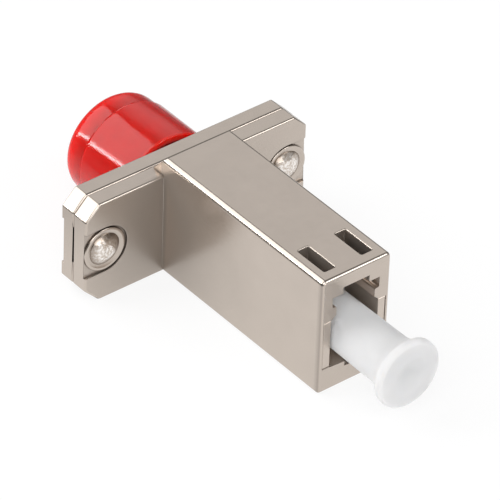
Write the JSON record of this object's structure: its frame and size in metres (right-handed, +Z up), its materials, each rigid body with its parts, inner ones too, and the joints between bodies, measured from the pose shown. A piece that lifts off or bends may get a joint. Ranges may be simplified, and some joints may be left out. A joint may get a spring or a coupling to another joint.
{
  "type": "hybrid fibre adapter",
  "caption": "Metal hybrid fibre adapter joining a square latching port to a round threaded barrel through a riveted flange, with a push-in plug and a push-on cap against dust.",
  "frame": {"origin": "on the fibre axis, at the panel face on the back of the flange", "axes": "+Y along the fibre axis out of the threaded barrel, -Y out of the square port, +X along the flange, +Z up with the latch on top"},
  "size_m": [0.022, 0.0379, 0.0109],
  "materials": {
    "nickel_plate": "satin nickel plating on a zinc casting",
    "nickel_plate_rear": "satin nickel plating on a turned and milled body",
    "nickel_carrier": "satin nickel plating",
    "ceramic": "polished white zirconia",
    "brass_bush": "nickel plated brass",
    "rivet_metal": "bright plated, set with a punch",
    "washer_metal": "bright plated",
    "white_plastic": "soft moulded, slightly translucent",
    "red_plastic": "clear red moulded, glossy"
  },
  "bodies": {
    "adapter": {"lc_housing": "nickel_plate", "fc_housing": "nickel_plate_rear", "lc_carrier": "nickel_carrier", "lc_split_sleeve": "ceramic", "fc_split_sleeve": "ceramic", "ferrule_stub": "ceramic", "stub_collar": "brass_bush", "fc_sleeve_holder": "brass_bush", "flange_rivets": "rivet_metal", "rivet_washers": "washer_metal"},
    "lc_cap": {"lc_dust_cap": "white_plastic"},
    "fc_cap": {"fc_dust_cap": "red_plastic"}
  },
  "joints": [
    {"name": "lc_cap_pull", "type": "slide", "parent": "adapter", "child": "lc_cap", "axis": [0, -1, 0], "range_m": [0, 0.05]},
    {"name": "fc_cap_pull", "type": "slide", "parent": "adapter", "child": "fc_cap", "axis": [0, 1, 0], "range_m": [0, 0.05]}
  ]
}
